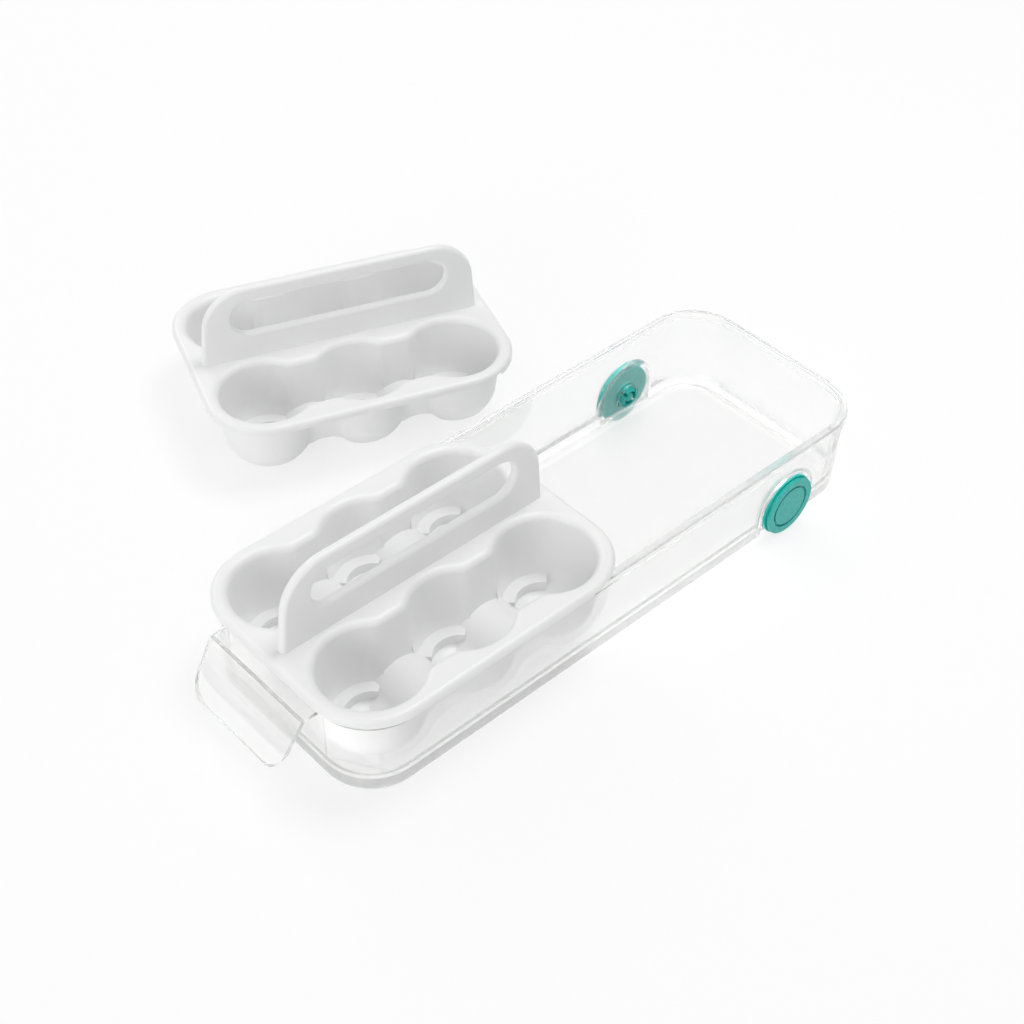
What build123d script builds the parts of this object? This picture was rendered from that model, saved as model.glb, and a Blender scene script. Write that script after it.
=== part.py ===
from build123d import *
import math
import os

# Clear storage bin on two rear wheels, with two lift-out trays for six eggs each.
# Millimetres: X is the width, Y the length (the pull flap is at -Y), Z is up and the
# floor is z = 0.  One tray hangs on the bin's rim, the other stands beside the bin.
# Everything is drawn about the middle of the bin and moved at the end, so that the
# origin is on the floor, under the middle of the whole set.

# ---- bin ----
RIM_W, RIM_L, RIM_R = 108.6, 295.0, 24.8    # outside of the top lip
RIM_Z = 46.0                                # top of the lip
LIP_H, LIP_OUT = 4.0, 1.0                   # lip height, and how far it stands out
LIP_EDGE = 1.0                              # rounding of its top edge
WALL = 2.4
DRAFT = 0.9                                 # of the walls, degrees
BASE_Z = 3.0                                # underside of the floor
FLOOR_T = 2.5
FLOOR_FILLET = 9.0                          # inside, where floor meets wall
BASE_FILLET = 3.0                           # outside

# ---- pull flap ----
FLAP_W, FLAP_T = 58.0, 2.2
FLAP_OUT, FLAP_FALL = 8.0, 1.0              # ledge: out from the lip, and down
FLAP_SLANT, FLAP_DROP = 12.8, 21.5          # sloping part: out, and down
FLAP_TAPER = 1.6                            # each side, towards the bottom edge
FLAP_CORNER = 10.0
FLAP_ROOT = 1.0                             # overlap with the lip

# ---- front feet ----
FOOT_L, FOOT_W, FOOT_EDGE = 16.0, 6.0, 0.8
FOOT_IN, FOOT_BACK = 24.3, 21.5             # from the lip's side and front

# ---- wheels ----
WHEEL_R, WHEEL_T = 15.0, 4.1
WHEEL_EDGE = 0.4                            # rounding of the tread
WHEEL_PROUD = 0.7                           # face, out from the lip's side
WHEEL_BACK = 49.7                           # axle, from the lip's rear
FACE_STEP, FACE_T = 0.55, 1.1               # raised face: inside the tread's radius, thickness
FACE_EDGE = 0.3
NICK_DEEP, NICK_W = 0.6, 0.7                # groove behind the raised face
RING_EDGE, RING_W, RING_DEEP = 3.65, 1.1, 0.9   # ring groove: from the face's edge, width, depth
BOSS_R, BOSS_CONE = 7.0, 0.5                # spacer between disc and well

# ---- wheel wells, and the snap fit that holds each wheel ----
WELL_GAP = 1.4                              # between tread and well
WELL_WALL = 1.8
WELL_EDGE = 2.4
WELL_DEPTH = 6.4                            # inside face, in from the lip's side
AXLE_R, AXLE_GAP = 4.8, 0.05
END_GAP = 0.1                               # axle end play, each side
COLLAR_R, COLLAR_H = 6.4, 1.0
PRONG_R, PRONG_LAND, PRONG_H = 5.3, 0.4, 1.4    # hooked end: radius, rim and height
PRONG_BORE = 3.5                            # round the core
CORE_R = 2.3
SLIT_W = 1.5

# ---- egg tray (its own frame: underside at z = 0, centred) ----
FLANGE_OVER = 1.65                          # flange past the bin's lip
FLANGE_T, FLANGE_EDGE = 2.0, 2.4            # thickness, and the round of the top edge
FLANGE_ROUND = 1.2                          # extra corner radius
BAND_H, BAND_T, BAND_EDGE = 4.2, 1.35, 0.6  # band that hangs round the flange
RIM_GAP = 0.3                               # round the bin's wall, inside the tray's end
LEDGE_GAP = 0.5                             # from the band down to the flap's ledge
PAIR_GAP = 1.7                              # between two trays in one bin
HANG = 35.0                                 # underside to underside of flange
TRAY_PLAY = 0.4                             # between cups and the bin's wall
CUP_WALL = 1.5
WEB = 12.6                                  # between the two rows, under the handle
CUP_CORNER, CUP_LEAN = 15.0, 1.8            # round corner, lean of the side
BRIM_EDGE = 3.4                             # round mouth of the cups and channels
BRIM_STEP = 0.03                            # mouth, wider than the cups
NECK_STEP = 6.6                             # channel's side, in from the cups' sides
NECK_BLEND, NECK_REACH = 8.0, 22.0
NECK_TAPER, NECK_FOOT = 8.0, 10.5           # degrees, and where the channel's sides end
ARCH_Z, ARCH_R = 12.2, 14.0                 # arches under the channels
SINK = 0.4                                  # cups' round floors, below the underside
REST_R, REST_W, REST_Z = 11.7, 6.0, 8.0     # curved egg rests in each cup
REST_HALF_ANGLE = 50.0

# ---- tray handle ----
GRIP_T, GRIP_EDGE = 4.2, 1.8
GRIP_TOP = 40.8                             # above the underside of the flange
GRIP_INSET, GRIP_LEAN = 5.9, 3.9            # ends: from the flange's end, and lean
GRIP_CORNER = 21.0
SLOT_END, SLOT_H, SLOT_BAR = 12.0, 18.0, 7.4    # left at the ends, height, left above

# ---- where the second tray stands ----
LOOSE_GAP, LOOSE_Y, LOOSE_TURN = 19.65, 7.6, 20.0

# sizes that follow
EMBED = 0.5                                 # how far joined shapes run into each other
slope = math.tan(math.radians(DRAFT))
inset = slope * (RIM_Z - BASE_Z)
base_w = RIM_W - 2 * (LIP_OUT + inset)
base_l = RIM_L - 2 * (LIP_OUT + inset)
base_r = RIM_R - LIP_OUT - inset
axle_y = RIM_L / 2 - WHEEL_BACK
face_x = RIM_W / 2 + WHEEL_PROUD
well_r = WHEEL_R + WELL_GAP
well_x = RIM_W / 2 - WELL_DEPTH             # inside face of the well's plate
plate_x = well_x + WELL_WALL                # its outside face
tray_w = RIM_W + 2 * FLANGE_OVER
tray_l = (RIM_L + 2 * FLANGE_OVER - PAIR_GAP) / 2
tray_r = RIM_R + FLANGE_OVER + FLANGE_ROUND
seat_y = (tray_l - RIM_L) / 2 - FLANGE_OVER
seat_z = RIM_Z - HANG
deck_z = HANG + FLANGE_T
brim_z = deck_z - BRIM_EDGE - EMBED         # where the cups' sides end and the mouth starts
cup_margin = FLANGE_OVER + LIP_OUT + WALL + TRAY_PLAY + CUP_WALL
cup_r = (tray_w / 2 - cup_margin - WEB / 2) / 2
cup_flat = cup_r - CUP_CORNER - CUP_LEAN    # radius of the flat floor
neck_half = cup_r - NECK_STEP
pitch_x = tray_w - 2 * (cup_margin + cup_r)
pitch_y = tray_l / 2 - cup_margin - cup_r


def rounded(width, length, radius, z):
    return Plane.XY.offset(z) * RectangleRounded(width, length, radius)


def on_axle(face, x0, x1):
    """Face drawn about the right wheel's axle, made a block from x0 to x1."""
    return Plane.YZ.offset(x0) * Pos(axle_y, WHEEL_R) * extrude(face, x1 - x0)


# ---------------------------------------------------------------- the bin
def arch(radius, foot):
    """Round-topped outline of a wheel well, open down to z = foot."""
    top = Circle(radius) & Pos(0, radius / 2) * Rectangle(2 * radius, radius)
    return top + Pos(0, (foot - WHEEL_R) / 2) * Rectangle(2 * radius, WHEEL_R - foot)


def make_bin():
    tub = extrude(rounded(base_w, base_l, base_r, BASE_Z), RIM_Z - BASE_Z, taper=-DRAFT)
    tub = fillet(tub.faces().sort_by(Axis.Z)[0].edges(), BASE_FILLET)
    lip = extrude(rounded(RIM_W, RIM_L, RIM_R, RIM_Z - LIP_H), LIP_H)
    lip = fillet(lip.faces().sort_by(Axis.Z)[-1].edges(), LIP_EDGE)
    wall = WALL - slope * FLOOR_T               # at the floor, so that it is WALL higher up
    floor = rounded(base_w - 2 * wall, base_l - 2 * wall, base_r - wall, BASE_Z + FLOOR_T)
    hollow = extrude(floor, RIM_Z - BASE_Z - FLOOR_T + 0.001, taper=-DRAFT)
    hollow = fillet(hollow.faces().sort_by(Axis.Z)[0].edges(), FLOOR_FILLET)
    body = tub + lip + make_flap() - hollow
    for side in (1, -1):
        shell, recess = make_well(side)
        body = body + shell - recess
        body = body + Pos(side * (RIM_W / 2 - FOOT_IN), FOOT_BACK - RIM_L / 2) * make_foot()
    return body


def make_well(side):
    """What one wheel well adds to the bin, and what it cuts away."""
    wall_x = RIM_W / 2 - LIP_OUT - WALL / 2
    shell = on_axle(arch(well_r + WELL_WALL, BASE_Z + FLOOR_T / 2), well_x, wall_x)
    crown = [e for e in shell.faces().sort_by(Axis.X)[0].edges() if e.geom_type == GeomType.CIRCLE]
    shell = fillet(crown, WELL_EDGE)
    shell = shell + on_axle(Circle(COLLAR_R), well_x - COLLAR_H, well_x + EMBED)
    recess = on_axle(arch(well_r, -WHEEL_R), plate_x, face_x + WHEEL_T)
    recess = recess + on_axle(Circle(AXLE_R + AXLE_GAP), well_x - 2 * COLLAR_H, face_x)
    if side < 0:
        return mirror(shell, Plane.YZ), mirror(recess, Plane.YZ)
    return shell, recess


def make_foot():
    height = BASE_Z + FLOOR_T / 2
    foot = extrude(Plane.XY * SlotOverall(FOOT_L, FOOT_W), height)
    return fillet(foot.faces().sort_by(Axis.Z)[0].edges(), FOOT_EDGE)


def make_flap():
    """Ledge out from the lip, then a sloping pull with rounded corners."""
    y0, z0 = FLAP_ROOT - RIM_L / 2, RIM_Z - (BAND_H - FLANGE_T) - LEDGE_GAP
    y1, z1 = -RIM_L / 2 - FLAP_OUT, z0 - FLAP_FALL
    y2, z2 = y1 - FLAP_SLANT, z1 - FLAP_DROP
    slant = math.hypot(FLAP_SLANT, FLAP_DROP)
    back_y, back_z = FLAP_T * FLAP_DROP / slant, -FLAP_T * FLAP_SLANT / slant
    side = Polyline((y0, z0), (y1, z1), (y2, z2), (y2 + back_y, z2 + back_z),
                    (y1 + back_y, z1 + back_z), (y0, z0 - FLAP_T), close=True)
    sheet = Plane.YZ * extrude(make_face(side), FLAP_W / 2, both=True)
    top, foot = FLAP_W / 2, FLAP_W / 2 - FLAP_TAPER
    front = make_face(Polyline((-top, RIM_Z), (-top, z1), (-foot, z2 + back_z), (foot, z2 + back_z),
                               (top, z1), (top, RIM_Z), close=True))
    front = fillet(front.vertices().group_by(Axis.Y)[0], FLAP_CORNER)
    return sheet & Plane.XZ.offset(-y0) * extrude(front, y0 - y2)


# --------------------------------------------------------------- the trays
def bowl(radius, bottom, top):
    """Cup turned about Z: flat floor, round corner, leaning side, up to top."""
    corner = CUP_CORNER + radius - cup_r
    z = bottom + corner
    lean = math.atan2(brim_z - z, radius - cup_flat)
    lean -= math.acos(corner / math.hypot(brim_z - z, radius - cup_flat))
    curve = CenterArc((cup_flat, z), corner, -90, 90 + math.degrees(lean))
    edge = Polyline(curve @ 1, (radius, brim_z), (radius, top), (0, top), (0, bottom), (cup_flat, bottom))
    return revolve(Plane.XZ * make_face([curve, *edge.edges()]), Axis.Z)


def row_outline(radius, half, cups=3):
    """Round cups in a row and the channels between them, seen from above."""
    reach = (cups - 1) * pitch_y / 2
    face = Rectangle(2 * half, 2 * reach)
    for k in range(cups):
        face = face + Pos(0, k * pitch_y - reach) * Circle(radius)
    return fillet([v for v in face.vertices() if abs(abs(v.X) - half) < 0.01], NECK_BLEND)


def wave(lift):
    """What is cut away under a row: below its floor and arches, raised by lift."""
    half = pitch_y / 2
    both = (half ** 2 + ARCH_Z ** 2) / (2 * ARCH_Z)      # arch radius + belly radius
    arch_r, belly_r = ARCH_R + lift, both - ARCH_R - lift
    arch_z, belly_z = ARCH_Z - ARCH_R - SINK, both - ARCH_R - SINK
    turn = math.degrees(math.atan2(belly_z - arch_z, half))
    dip = math.degrees(math.acos((belly_z - lift) / belly_r))
    flat = belly_r * math.sin(math.radians(dip))
    edges = [Line((-flat, lift), (flat, lift))]
    for y in (-half, half):
        edges.append(CenterArc((y, arch_z), arch_r, turn, 180 - 2 * turn))
        edges.append(CenterArc((y - half, belly_z), belly_r, 270 + dip, 90 - dip - turn))
        edges.append(CenterArc((y + half, belly_z), belly_r, 180 + turn, 90 - dip - turn))
    end, low = pitch_y + 2 * cup_r, -cup_r / 2
    edges += Polyline((-pitch_y + flat, lift), (-end, lift), (-end, low), (end, low),
                      (end, lift), (pitch_y - flat, lift)).edges()
    return Plane.YZ * extrude(make_face(edges), 2 * cup_r, both=True)


def row(radius, half, lift, top):
    """A row of three cups as one solid, its floor at lift and its open end at top."""
    solid = Part() + [Pos(0, k * pitch_y) * bowl(radius, lift - SINK / 2, top) for k in (-1, 0, 1)]
    mouth = row_outline(radius - BRIM_STEP, half, 2) & Rectangle(4 * radius, NECK_REACH)
    neck = extrude(mouth, top - brim_z) + extrude(mouth, NECK_FOOT - brim_z, taper=NECK_TAPER)
    neck = Plane.XY.offset(brim_z) * neck
    solid = solid + [Pos(0, k * pitch_y) * neck for k in (-0.5, 0.5)]
    return solid - wave(lift)


def make_cups():
    """One row: its shell, and two curved rests for the egg in each cup."""
    inner = row(cup_r, neck_half, CUP_WALL, deck_z)
    shell = row(cup_r + CUP_WALL, neck_half + CUP_WALL, 0, HANG + EMBED) - inner
    half_wall = CUP_WALL / 2
    room = row(cup_r + half_wall, neck_half + half_wall, half_wall, HANG + EMBED)
    far = 3 * REST_R
    wide = far * math.tan(math.radians(REST_HALF_ANGLE))
    wedge = make_face(Polyline((0, 0), (far, -wide), (far, wide), close=True))
    rest = extrude((Circle(REST_R + REST_W) - Circle(REST_R)) & wedge, REST_Z)
    rests = Part() + [Pos(0, k * pitch_y) * Rot(0, 0, turn) * rest for k in (-1, 0, 1) for turn in (0, 180)]
    return shell + (rests & room)


def make_deck():
    """Flange, and the band that hangs round it over the bin's lip."""
    low = deck_z - BAND_H
    deck = extrude(rounded(tray_w, tray_l, tray_r, low), BAND_H)
    deck = fillet(deck.faces().sort_by(Axis.Z)[-1].edges(), FLANGE_EDGE)
    deck = fillet(deck.faces().sort_by(Axis.Z)[0].edges(), BAND_EDGE)
    room = rounded(tray_w - 2 * BAND_T, tray_l - 2 * BAND_T, RIM_R + FLANGE_OVER - BAND_T, low)
    deck = deck - extrude(room, BAND_H - FLANGE_T)
    notch = FLANGE_OVER + LIP_OUT + WALL + RIM_GAP       # the inner end sits between the bin's walls
    for side in (1, -1):
        corner = Pos(side * (tray_w - notch) / 2, (tray_l - tray_r) / 2, low)
        deck = deck - corner * Box(notch, tray_r, 2 * (BAND_H - FLANGE_T))
    return deck


def make_mouths():
    """What the rows' openings cut from the top, with their rounded edges."""
    plate = Plane.XY.offset(brim_z) * extrude(Rectangle(tray_w, tray_l), deck_z - brim_z)
    opening = extrude(row_outline(cup_r + BRIM_STEP, neck_half + BRIM_STEP), 2 * deck_z)
    pierced = plate - [Pos(side * pitch_x / 2, 0) * opening for side in (1, -1)]
    return plate - fillet(pierced.faces().sort_by(Axis.Z)[-1].inner_wires().edges(), BRIM_EDGE)


def make_grip():
    low, top = HANG + EMBED, HANG + GRIP_TOP
    foot = tray_l / 2 - GRIP_INSET
    head = foot - GRIP_LEAN
    face = make_face(Polyline((-foot, low), (foot, low), (head, top), (-head, top), close=True))
    face = fillet(face.vertices().group_by(Axis.Y)[-1], GRIP_CORNER)
    slot = SlotOverall(2 * (head - SLOT_END), SLOT_H)
    plate = Plane.YZ * extrude(face - Pos(0, top - SLOT_BAR - SLOT_H / 2) * slot, GRIP_T / 2, both=True)
    rims = [e for e in plate.edges() if abs(e.center().X) > GRIP_T / 2 - 0.01 and e.center().Z > low + 0.01]
    return fillet(rims, GRIP_EDGE)


def make_tray():
    cups = make_cups()
    body = make_deck() + [Pos(side * pitch_x / 2, 0) * cups for side in (1, -1)] - make_mouths()
    return body + make_grip()


# -------------------------------------------------------------- the wheels
def make_wheel():
    """Right wheel: disc with a raised face, and a split axle that snaps into the well."""
    back = face_x - WHEEL_T
    nick_x = face_x - FACE_T
    tread_x = nick_x - NICK_W
    face_r = WHEEL_R - FACE_STEP
    ring_r = face_r - RING_EDGE                 # outside of the ring groove
    seat = well_x - COLLAR_H - END_GAP          # where the hooks catch, past the collar
    end = seat - PRONG_H
    disc = make_face(Polyline(
        (face_x, 0), (face_x, ring_r - RING_W), (face_x - RING_DEEP, ring_r - RING_W),
        (face_x - RING_DEEP, ring_r), (face_x, ring_r), (face_x, face_r), (nick_x, face_r),
        (nick_x, face_r - NICK_DEEP), (tread_x, face_r - NICK_DEEP), (tread_x, WHEEL_R), (back, WHEEL_R),
        (back, BOSS_R),
        (plate_x + END_GAP, BOSS_R - BOSS_CONE), (plate_x + END_GAP, 0), close=True))
    disc = fillet([v for v in disc.vertices() if abs(v.Y - WHEEL_R) < 0.01], WHEEL_EDGE)
    disc = fillet([v for v in disc.vertices() if abs(v.Y - face_r) < 0.01], FACE_EDGE)
    prongs = make_face(Polyline(
        (back, PRONG_BORE), (back, AXLE_R), (seat, AXLE_R), (seat, PRONG_R), (seat - PRONG_LAND, PRONG_R),
        (end, AXLE_R - EMBED), (end, PRONG_BORE), close=True))
    tube = revolve(prongs, Axis.X)
    for turn in (45, 135):
        tube = tube - Pos((end + plate_x) / 2, 0, 0) * Rot(turn, 0, 0) * Box(
            plate_x - end, 3 * AXLE_R, SLIT_W)
    core = Plane.YZ.offset(end + PRONG_H / 2) * extrude(Circle(CORE_R), back - end)
    return Pos(0, axle_y, WHEEL_R) * (revolve(disc, Axis.X) + tube + core)


def make_set():
    """Every piece in its place about the middle of the bin, by name."""
    wheel, tray = make_wheel(), make_tray()
    turn = math.radians(LOOSE_TURN)
    reach = (tray_w * math.cos(turn) + tray_l * math.sin(turn)) / 2
    return {
        "bin_body": make_bin(),
        "wheel_right": wheel,
        "wheel_left": mirror(wheel, Plane.YZ),
        "egg_tray_seated": Pos(0, seat_y, seat_z) * tray,
        "egg_tray_loose": Pos(-RIM_W / 2 - LOOSE_GAP - reach, LOOSE_Y) * Rot(0, 0, -LOOSE_TURN) * tray,
    }


COLOURS = {"bin": (0.90, 0.93, 0.94, 0.4), "wheel": (0.10, 0.55, 0.50), "egg": (0.93, 0.93, 0.92)}


if __name__ == "__main__":
    pieces = make_set()
    middle = Compound(list(pieces.values())).bounding_box().center()
    os.makedirs("parts", exist_ok=True)
    for name, piece in pieces.items():
        piece = Pos(-middle.X, -middle.Y) * piece
        piece.label = name
        piece.color = Color(*COLOURS[name.split("_")[0]])
        export_step(piece, f"parts/{name}.step")
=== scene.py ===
import math

import bmesh
import bpy
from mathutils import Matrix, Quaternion, Vector


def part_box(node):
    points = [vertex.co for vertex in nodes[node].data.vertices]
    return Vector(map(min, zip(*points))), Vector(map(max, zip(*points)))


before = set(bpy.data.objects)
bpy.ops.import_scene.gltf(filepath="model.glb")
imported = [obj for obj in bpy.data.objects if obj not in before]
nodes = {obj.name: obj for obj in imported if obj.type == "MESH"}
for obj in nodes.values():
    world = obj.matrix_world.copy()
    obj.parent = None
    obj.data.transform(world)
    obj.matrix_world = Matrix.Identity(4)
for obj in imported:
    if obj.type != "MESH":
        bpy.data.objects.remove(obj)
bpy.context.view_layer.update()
rimLength = 0.295            # outside of the bin's lip, from front to rear, in metres
binLow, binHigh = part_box("bin_body")
binMiddle = Vector(((binLow[0] + binHigh[0]) / 2, binHigh[1] - rimLength / 2, 0))   # of its lip
print("frame loaded:", ", ".join(sorted(nodes)))

plainWhite = (1, 1, 1, 1)


# An output socket that can be added to, taken from and multiplied.
class Wire:
    def __init__(self, tree, socket=None):
        self.tree = tree
        self.socket = socket

    def add(self, kind, settings=None, inputs=None, out=0):
        node = self.tree.nodes.new("ShaderNode" + kind)
        for name, value in (settings or {}).items():
            if name == "stops":
                self.fillRamp(node.color_ramp, value)
            else:
                setattr(node, name, value)
        for name, value in (inputs or {}).items():
            if isinstance(value, Wire):
                self.tree.links.new(value.socket, node.inputs[name])
            else:
                node.inputs[name].default_value = value
        return Wire(self.tree, node.outputs[out] if node.outputs else None)

    def fillRamp(self, ramp, stops):
        while len(ramp.elements) < len(stops):
            ramp.elements.new(0.5)
        for element, (place, shade) in zip(ramp.elements, stops):
            element.position = place
            element.color = (*shade, 1)

    def maths(self, operation, first, second):
        return self.add("Math", {"operation": operation}, {0: first, 1: second})

    def __add__(self, other):
        return self.maths("ADD", self, other)

    def __sub__(self, other):
        return self.maths("SUBTRACT", self, other)

    def __rsub__(self, other):
        return self.maths("SUBTRACT", other, self)

    def __mul__(self, other):
        return self.maths("MULTIPLY", self, other)

    def orLarger(self, other):
        return self.maths("MAXIMUM", self, other)

    def below(self, other):
        return self.maths("LESS_THAN", self, other)

    # The first colour where this wire is 0, the second where it is 1.
    def blend(self, first, second):
        return self.add("Mix", {"data_type": "RGBA"},
                        {"Factor": self, 6: (*first, 1), 7: (*second, 1)}, out=2)

    # The same for two shaders.
    def choose(self, first, second):
        return self.add("MixShader", inputs={0: self, 1: first, 2: second})

    __radd__ = __add__
    __rmul__ = __mul__


def newMaterial(name):
    material = bpy.data.materials.new(name)
    material.use_nodes = True
    material.node_tree.nodes.clear()
    return material, Wire(material.node_tree)


def finishMaterial(wire, shader):
    wire.add("OutputMaterial", inputs={"Surface": shader})


def isRay(wire, kind):
    return wire.add("LightPath", out=f"Is {kind} Ray")


def noise(wire, scale, detail=2.0):
    place = wire.add("TexCoord", out="Object")            # in metres
    return wire.add("TexNoise", inputs={"Vector": place, "Scale": scale, "Detail": detail})


def ripple(wire, height, depth, strength):
    return wire.add("Bump", inputs={"Strength": strength, "Distance": depth, "Height": height})


def patchyRoughness(look, patches):
    return (patches - 0.5) * (2 * look["patchy"]) + look["roughness"]


# White trays: satin moulded plastic with a fine spark-eroded grain.
trayLook = {
    "colour": (0.875, 0.877, 0.875),
    "ior": 1.49,
    "roughness": 0.36,
    "patchy": 0.07,          # how far the roughness wanders
    "patchScale": 60,
    "grainScale": 2600,
    "grainDepth": 0.00002,
    "grainStrength": 0.35,
}


def makeTrayMaterial():
    look = trayLook
    material, wire = newMaterial("satinWhitePlastic")
    patches = noise(wire, look["patchScale"])
    grain = noise(wire, look["grainScale"], detail=1.0)
    shader = wire.add("BsdfPrincipled", inputs={
        "Base Color": (*look["colour"], 1),
        "Roughness": patchyRoughness(look, patches),
        "IOR": look["ior"],
        "Normal": ripple(wire, grain, look["grainDepth"], look["grainStrength"]),
    })
    finishMaterial(wire, shader)
    return material


# Clear bin: smooth and barely tinted, with a trace of haze.
binLook = {
    "colour": (0.985, 0.987, 0.985),
    # painted shade: a darker colour on the bin's level floor plate, standing in for the shade
    # there
    "paintedFloorShade": (0.86, 0.863, 0.86),
    "floorTop": 0.010,       # the painted shade on the floor stays below this height
    "levelFrom": 0.93,       # and comes in where the surface is nearly level,
    "levelTo": 0.99,         # by the square of its normal's height
    "ior": 1.45,
    "clear": 0.97,           # the rest is haze
    "escape": 0.30,          # share of the light caught inside a wall that gets out at each turn
    "roughness": 0.15,
    "patchy": 0.02,
    "patchScale": 25,
    "flowScale": 14,         # slow waves left by the mould
    "flowDepth": 0.0004,
    "flowStrength": 0.25,
    "letThrough": (0.98, 0.983, 0.98),       # what its shadow keeps of the lamps' light
}


def makeBinMaterial():
    look = binLook
    material, wire = newMaterial("clearPlastic")
    patches = noise(wire, look["patchScale"])
    flow = noise(wire, look["flowScale"], detail=0.0)
    fromInside = wire.add("NewGeometry", out="Backfacing")
    height = wire.add("SeparateXYZ", inputs={0: wire.add("TexCoord", out="Object")}, out="Z")
    upward = wire.add("SeparateXYZ", inputs={0: wire.add("NewGeometry", out="Normal")}, out="Z")
    level = wire.add("MapRange", inputs={
        "Value": upward * upward,
        "From Min": look["levelFrom"],
        "From Max": look["levelTo"],
    })
    # painted shade on the bin's floor, where it is low and faces up
    floorShadeMask = height.below(look["floorTop"]) * level
    clear = wire.add("BsdfPrincipled", inputs={
        "Base Color": floorShadeMask.blend(look["colour"], look["paintedFloorShade"]),
        "Roughness": patches * look["patchy"] + look["roughness"],
        "IOR": look["ior"],
        "Transmission Weight": look["clear"],
        "Alpha": 1.0 - fromInside * look["escape"],
        "Normal": ripple(wire, flow, look["flowDepth"], look["flowStrength"]),
    })
    lampLight = wire.add("BsdfTransparent", inputs={"Color": (*look["letThrough"], 1)})
    finishMaterial(wire, isRay(wire, "Shadow").choose(clear, lampLight))
    return material


# Wheels: teal, a little glossier than the trays.
wheelLook = {
    "colour": (0.014, 0.470, 0.420),
    "shade": (0.010, 0.425, 0.375),          # the darker of its two patchy colours
    "ior": 1.49,
    "specular": 0.35,
    "roughness": 0.27,
    "patchy": 0.06,
    "patchScale": 180,
    "grainScale": 3200,
    "grainDepth": 0.000012,
    "grainStrength": 0.3,
}


def makeWheelMaterial():
    look = wheelLook
    material, wire = newMaterial("tealPlastic")
    patches = noise(wire, look["patchScale"])
    grain = noise(wire, look["grainScale"], detail=1.0)
    shader = wire.add("BsdfPrincipled", inputs={
        "Base Color": patches.blend(look["shade"], look["colour"]),
        "Roughness": patchyRoughness(look, patches),
        "IOR": look["ior"],
        "Specular IOR Level": look["specular"],
        "Normal": ripple(wire, grain, look["grainDepth"], look["grainStrength"]),
    })
    finishMaterial(wire, shader)
    return material


def dress(material, *names):
    for name in names:
        for slot in nodes[name].material_slots:
            slot.material = material


dress(makeBinMaterial(), "bin_body")
dress(makeTrayMaterial(), "egg_tray_seated", "egg_tray_loose")
dress(makeWheelMaterial(), "wheel_right", "wheel_left")
print("finishes on")


# Floor, world and lamps. Places are in metres from binMiddle, for the camera too.
studio = {
    "floorSize": 8.0,
    "floorColour": (0.97, 0.97, 0.97),
    "floorWhite": 0.75,      # share of the floor that is plain white to the camera
    "throughWhite": 0.86,    # and the same in reflections and through clear plastic
    "ambient": 0.52,
    "backdrop": 0.89,        # what the camera sees past the floor, as pale as its far edge
    # How pale the sky is that clear plastic shows, from the horizon (0) up to straight above
    # (1). The dark belt just over the horizon draws the plastic's edges.
    "sky": ((0.0, 1.0), (0.05, 0.15), (0.30, 0.75), (0.6, 1.0)),
}
lamps = {
    "overhead": {"at": (0.05, 0.45, 1.47), "aim": (-0.02, 0.0, 0.0), "size": 0.65, "power": 8.3},
    "front": {"at": (0.3, -1.5, 0.38), "aim": (0.0, 0.0, 0.02), "size": 0.9, "power": 7.2},
    "left": {"at": (-1.4, 0.15, 0.9), "aim": (0.0, 0.0, 0.02), "size": 0.8, "power": 3.5},
}


def isBentRay(wire):
    return isRay(wire, "Glossy").orLarger(isRay(wire, "Transmission"))


# White to the camera and in reflections, matt for everything else, which keeps the shadow.
def floorShare(wire):
    seen = isRay(wire, "Camera") * studio["floorWhite"]
    return seen.orLarger(isBentRay(wire) * studio["throughWhite"])


def makeFloor():
    shape = bmesh.new()
    bmesh.ops.create_grid(shape, x_segments=1, y_segments=1, size=studio["floorSize"] / 2)
    mesh = bpy.data.meshes.new("floor")
    shape.to_mesh(mesh)
    shape.free()
    floor = bpy.data.objects.new("floor", mesh)
    bpy.context.scene.collection.objects.link(floor)
    material, wire = newMaterial("whiteFloor")
    matt = wire.add("BsdfDiffuse", inputs={"Color": (*studio["floorColour"], 1)})
    white = wire.add("Emission", inputs={"Color": plainWhite, "Strength": 1.0})
    finishMaterial(wire, floorShare(wire).choose(matt, white))
    mesh.materials.append(material)


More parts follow.
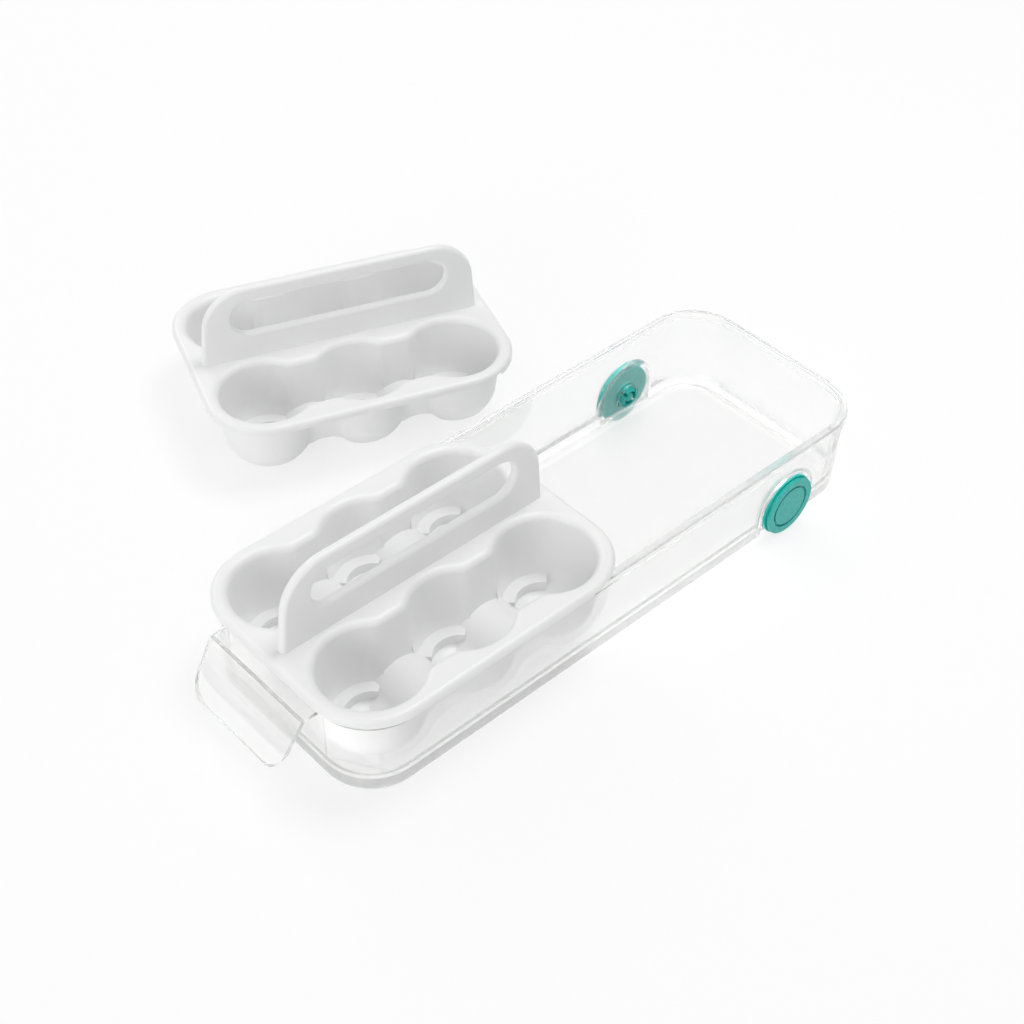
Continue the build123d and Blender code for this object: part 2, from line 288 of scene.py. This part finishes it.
def makeWorld():
    world = bpy.data.worlds.new("studio")
    bpy.context.scene.world = world
    world.use_nodes = True
    world.node_tree.nodes.clear()
    wire = Wire(world.node_tree)
    height = wire.add("SeparateXYZ", inputs={0: wire.add("TexCoord", out="Generated")}, out="Z")
    stops = [(place, (pale,) * 3) for place, pale in studio["sky"]]
    shade = wire.add("ValToRGB", {"stops": stops}, {0: height})
    ambient = wire.add("Background", inputs={"Color": plainWhite, "Strength": studio["ambient"]})
    sky = wire.add("Background", inputs={"Color": shade, "Strength": 1.0})
    backdrop = wire.add("Background", inputs={
        "Color": plainWhite,
        "Strength": studio["backdrop"],
    })
    around = isBentRay(wire).choose(ambient, sky)
    wire.add("OutputWorld", inputs={"Surface": isRay(wire, "Camera").choose(around, backdrop)})


def makeLamp(name, at, aim, size, power):
    data = bpy.data.lights.new(name, "AREA")
    data.shape = "DISK"
    data.size = size         # across, in metres
    data.energy = power      # in watts
    lamp = bpy.data.objects.new(name, data)
    bpy.context.scene.collection.objects.link(lamp)
    lamp.location = binMiddle + Vector(at)
    lamp.rotation_mode = "QUATERNION"
    lamp.rotation_quaternion = (Vector(aim) - Vector(at)).to_track_quat("-Z", "Y")


camera = {
    "aim": (-0.0334, 0.0100, 0.003),
    "azimuth": 46.02,        # degrees, like elevation and roll
    "elevation": 43.36,
    "distance": 0.79075,
    "roll": 1.97,
    "lens": 61.19,           # millimetres, like sensor
    "sensor": 36.0,
    "nearest": 0.01,
}


def makeCamera():
    turn, rise = math.radians(camera["azimuth"]), math.radians(camera["elevation"])
    level = math.cos(rise)
    back = Vector((math.sin(turn) * level, -math.cos(turn) * level, math.sin(rise)))
    data = bpy.data.cameras.new("camera")
    data.sensor_fit = "HORIZONTAL"
    data.sensor_width = camera["sensor"]
    data.lens = camera["lens"]
    data.clip_start = camera["nearest"]
    eye = bpy.data.objects.new("camera", data)
    bpy.context.scene.collection.objects.link(eye)
    eye.location = binMiddle + Vector(camera["aim"]) + back * camera["distance"]
    eye.rotation_mode = "QUATERNION"
    roll = Quaternion((0, 0, 1), math.radians(camera["roll"]))
    eye.rotation_quaternion = (-back).to_track_quat("-Z", "Y") @ roll
    bpy.context.scene.camera = eye


makeFloor()
makeWorld()
for name, lamp in lamps.items():
    makeLamp(name, **lamp)
makeCamera()
bpy.context.scene.view_settings.view_transform = "Standard"
print("studio ready")
